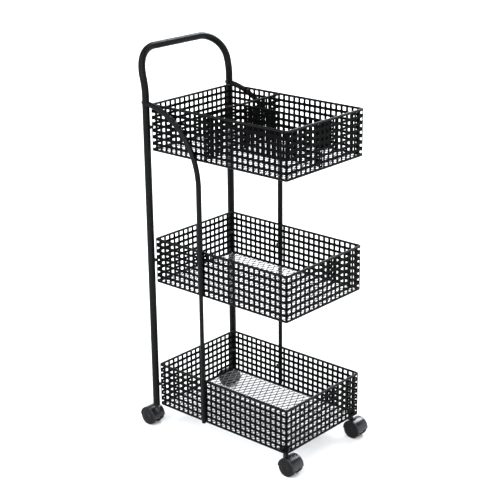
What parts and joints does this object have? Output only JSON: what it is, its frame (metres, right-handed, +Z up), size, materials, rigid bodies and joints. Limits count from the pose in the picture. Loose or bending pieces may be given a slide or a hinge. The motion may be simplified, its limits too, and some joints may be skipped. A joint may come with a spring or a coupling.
{
  "type": "rolling utility cart",
  "caption": "Tall tube-frame utility cart with rectangular mesh baskets, a divided top basket, a swept-back handle and hooded twin-wheel swivel casters.",
  "frame": {"origin": "on the ground, under the middle of the bounding box", "axes": "+Z up, +X towards the front away from the handle, +Y towards the left side seen from the handle"},
  "size_m": [0.4578, 0.307, 0.8958],
  "materials": {
    "powder_coat_tube": "satin black powder coat",
    "powder_coat_wire": "satin black powder coat",
    "powder_coat_mesh": "satin black powder coat",
    "black_screw": "black oxide",
    "zinc_steel": "zinc plated",
    "caster_nylon": "glossy moulded nylon",
    "caster_wheel": "satin moulded plastic"
  },
  "bodies": {
    "frame": {"frame_tube": "powder_coat_tube", "right_brace_upper": "powder_coat_tube", "right_brace_lower": "powder_coat_tube", "right_brace_bolt": "black_screw", "left_brace_upper": "powder_coat_tube", "left_brace_lower": "powder_coat_tube", "left_brace_bolt": "black_screw", "bottom_basket_wall": "powder_coat_mesh", "bottom_basket_bottom_rim": "powder_coat_wire", "bottom_basket_top_rim": "powder_coat_wire", "bottom_basket_floor": "powder_coat_mesh", "bottom_right_corner_screw": "black_screw", "bottom_right_brace_screw": "black_screw", "bottom_left_corner_screw": "black_screw", "bottom_left_brace_screw": "black_screw", "middle_basket_wall": "powder_coat_mesh", "middle_basket_bottom_rim": "powder_coat_wire", "middle_basket_top_rim": "powder_coat_wire", "middle_basket_floor": "powder_coat_mesh", "middle_right_corner_screw": "black_screw", "middle_right_brace_screw": "black_screw", "middle_left_corner_screw": "black_screw", "middle_left_brace_screw": "black_screw", "top_basket_wall": "powder_coat_mesh", "top_basket_bottom_rim": "powder_coat_wire", "top_basket_top_rim": "powder_coat_wire", "top_basket_floor": "powder_coat_mesh", "top_right_corner_screw": "black_screw", "top_right_brace_screw": "black_screw", "top_left_corner_screw": "black_screw", "top_left_brace_screw": "black_screw", "cross_divider": "powder_coat_mesh", "long_divider": "powder_coat_mesh", "long_divider_end_plate": "powder_coat_mesh", "rear_right_caster_socket": "zinc_steel", "rear_left_caster_socket": "zinc_steel", "front_right_caster_socket": "zinc_steel", "front_left_caster_socket": "zinc_steel"},
    "rear_right_swivel": {"rear_right_caster_stem": "zinc_steel", "rear_right_caster_hood": "caster_nylon", "rear_right_caster_axle": "zinc_steel"},
    "rear_right_outer_wheel": {"rear_right_wheel_outer": "caster_wheel"},
    "rear_right_inner_wheel": {"rear_right_wheel_inner": "caster_wheel"},
    "rear_left_swivel": {"rear_left_caster_stem": "zinc_steel", "rear_left_caster_hood": "caster_nylon", "rear_left_caster_axle": "zinc_steel"},
    "rear_left_outer_wheel": {"rear_left_wheel_outer": "caster_wheel"},
    "rear_left_inner_wheel": {"rear_left_wheel_inner": "caster_wheel"},
    "front_right_swivel": {"front_right_caster_stem": "zinc_steel", "front_right_caster_hood": "caster_nylon", "front_right_caster_axle": "zinc_steel"},
    "front_right_outer_wheel": {"front_right_wheel_outer": "caster_wheel"},
    "front_right_inner_wheel": {"front_right_wheel_inner": "caster_wheel"},
    "front_left_swivel": {"front_left_caster_stem": "zinc_steel", "front_left_caster_hood": "caster_nylon", "front_left_caster_axle": "zinc_steel"},
    "front_left_outer_wheel": {"front_left_wheel_outer": "caster_wheel"},
    "front_left_inner_wheel": {"front_left_wheel_inner": "caster_wheel"}
  },
  "joints": [
    {"name": "rear_right_swivel_turn", "type": "hinge", "parent": "frame", "child": "rear_right_swivel", "pos_m": [-0.18805, -0.1355, 0.045], "axis": [0, 0, 1], "continuous": true},
    {"name": "rear_right_outer_wheel_spin", "type": "hinge", "parent": "rear_right_swivel", "child": "rear_right_outer_wheel", "pos_m": [-0.20205, -0.1355, 0.021], "axis": [0, 1, 0], "continuous": true},
    {"name": "rear_right_inner_wheel_spin", "type": "hinge", "parent": "rear_right_swivel", "child": "rear_right_inner_wheel", "pos_m": [-0.20205, -0.1355, 0.021], "axis": [0, 1, 0], "continuous": true},
    {"name": "rear_left_swivel_turn", "type": "hinge", "parent": "frame", "child": "rear_left_swivel", "pos_m": [-0.18805, 0.1355, 0.045], "axis": [0, 0, 1], "continuous": true},
    {"name": "rear_left_outer_wheel_spin", "type": "hinge", "parent": "rear_left_swivel", "child": "rear_left_outer_wheel", "pos_m": [-0.20205, 0.1355, 0.021], "axis": [0, 1, 0], "continuous": true},
    {"name": "rear_left_inner_wheel_spin", "type": "hinge", "parent": "rear_left_swivel", "child": "rear_left_inner_wheel", "pos_m": [-0.20205, 0.1355, 0.021], "axis": [0, 1, 0], "continuous": true},
    {"name": "front_right_swivel_turn", "type": "hinge", "parent": "frame", "child": "front_right_swivel", "pos_m": [0.19245, -0.1175, 0.045], "axis": [0, 0, 1], "continuous": true},
    {"name": "front_right_outer_wheel_spin", "type": "hinge", "parent": "front_right_swivel", "child": "front_right_outer_wheel", "pos_m": [0.20645, -0.1175, 0.021], "axis": [0, 1, 0], "continuous": true},
    {"name": "front_right_inner_wheel_spin", "type": "hinge", "parent": "front_right_swivel", "child": "front_right_inner_wheel", "pos_m": [0.20645, -0.1175, 0.021], "axis": [0, 1, 0], "continuous": true},
    {"name": "front_left_swivel_turn", "type": "hinge", "parent": "frame", "child": "front_left_swivel", "pos_m": [0.19245, 0.1175, 0.045], "axis": [0, 0, 1], "continuous": true},
    {"name": "front_left_outer_wheel_spin", "type": "hinge", "parent": "front_left_swivel", "child": "front_left_outer_wheel", "pos_m": [0.20645, 0.1175, 0.021], "axis": [0, 1, 0], "continuous": true},
    {"name": "front_left_inner_wheel_spin", "type": "hinge", "parent": "front_left_swivel", "child": "front_left_inner_wheel", "pos_m": [0.20645, 0.1175, 0.021], "axis": [0, 1, 0], "continuous": true}
  ]
}
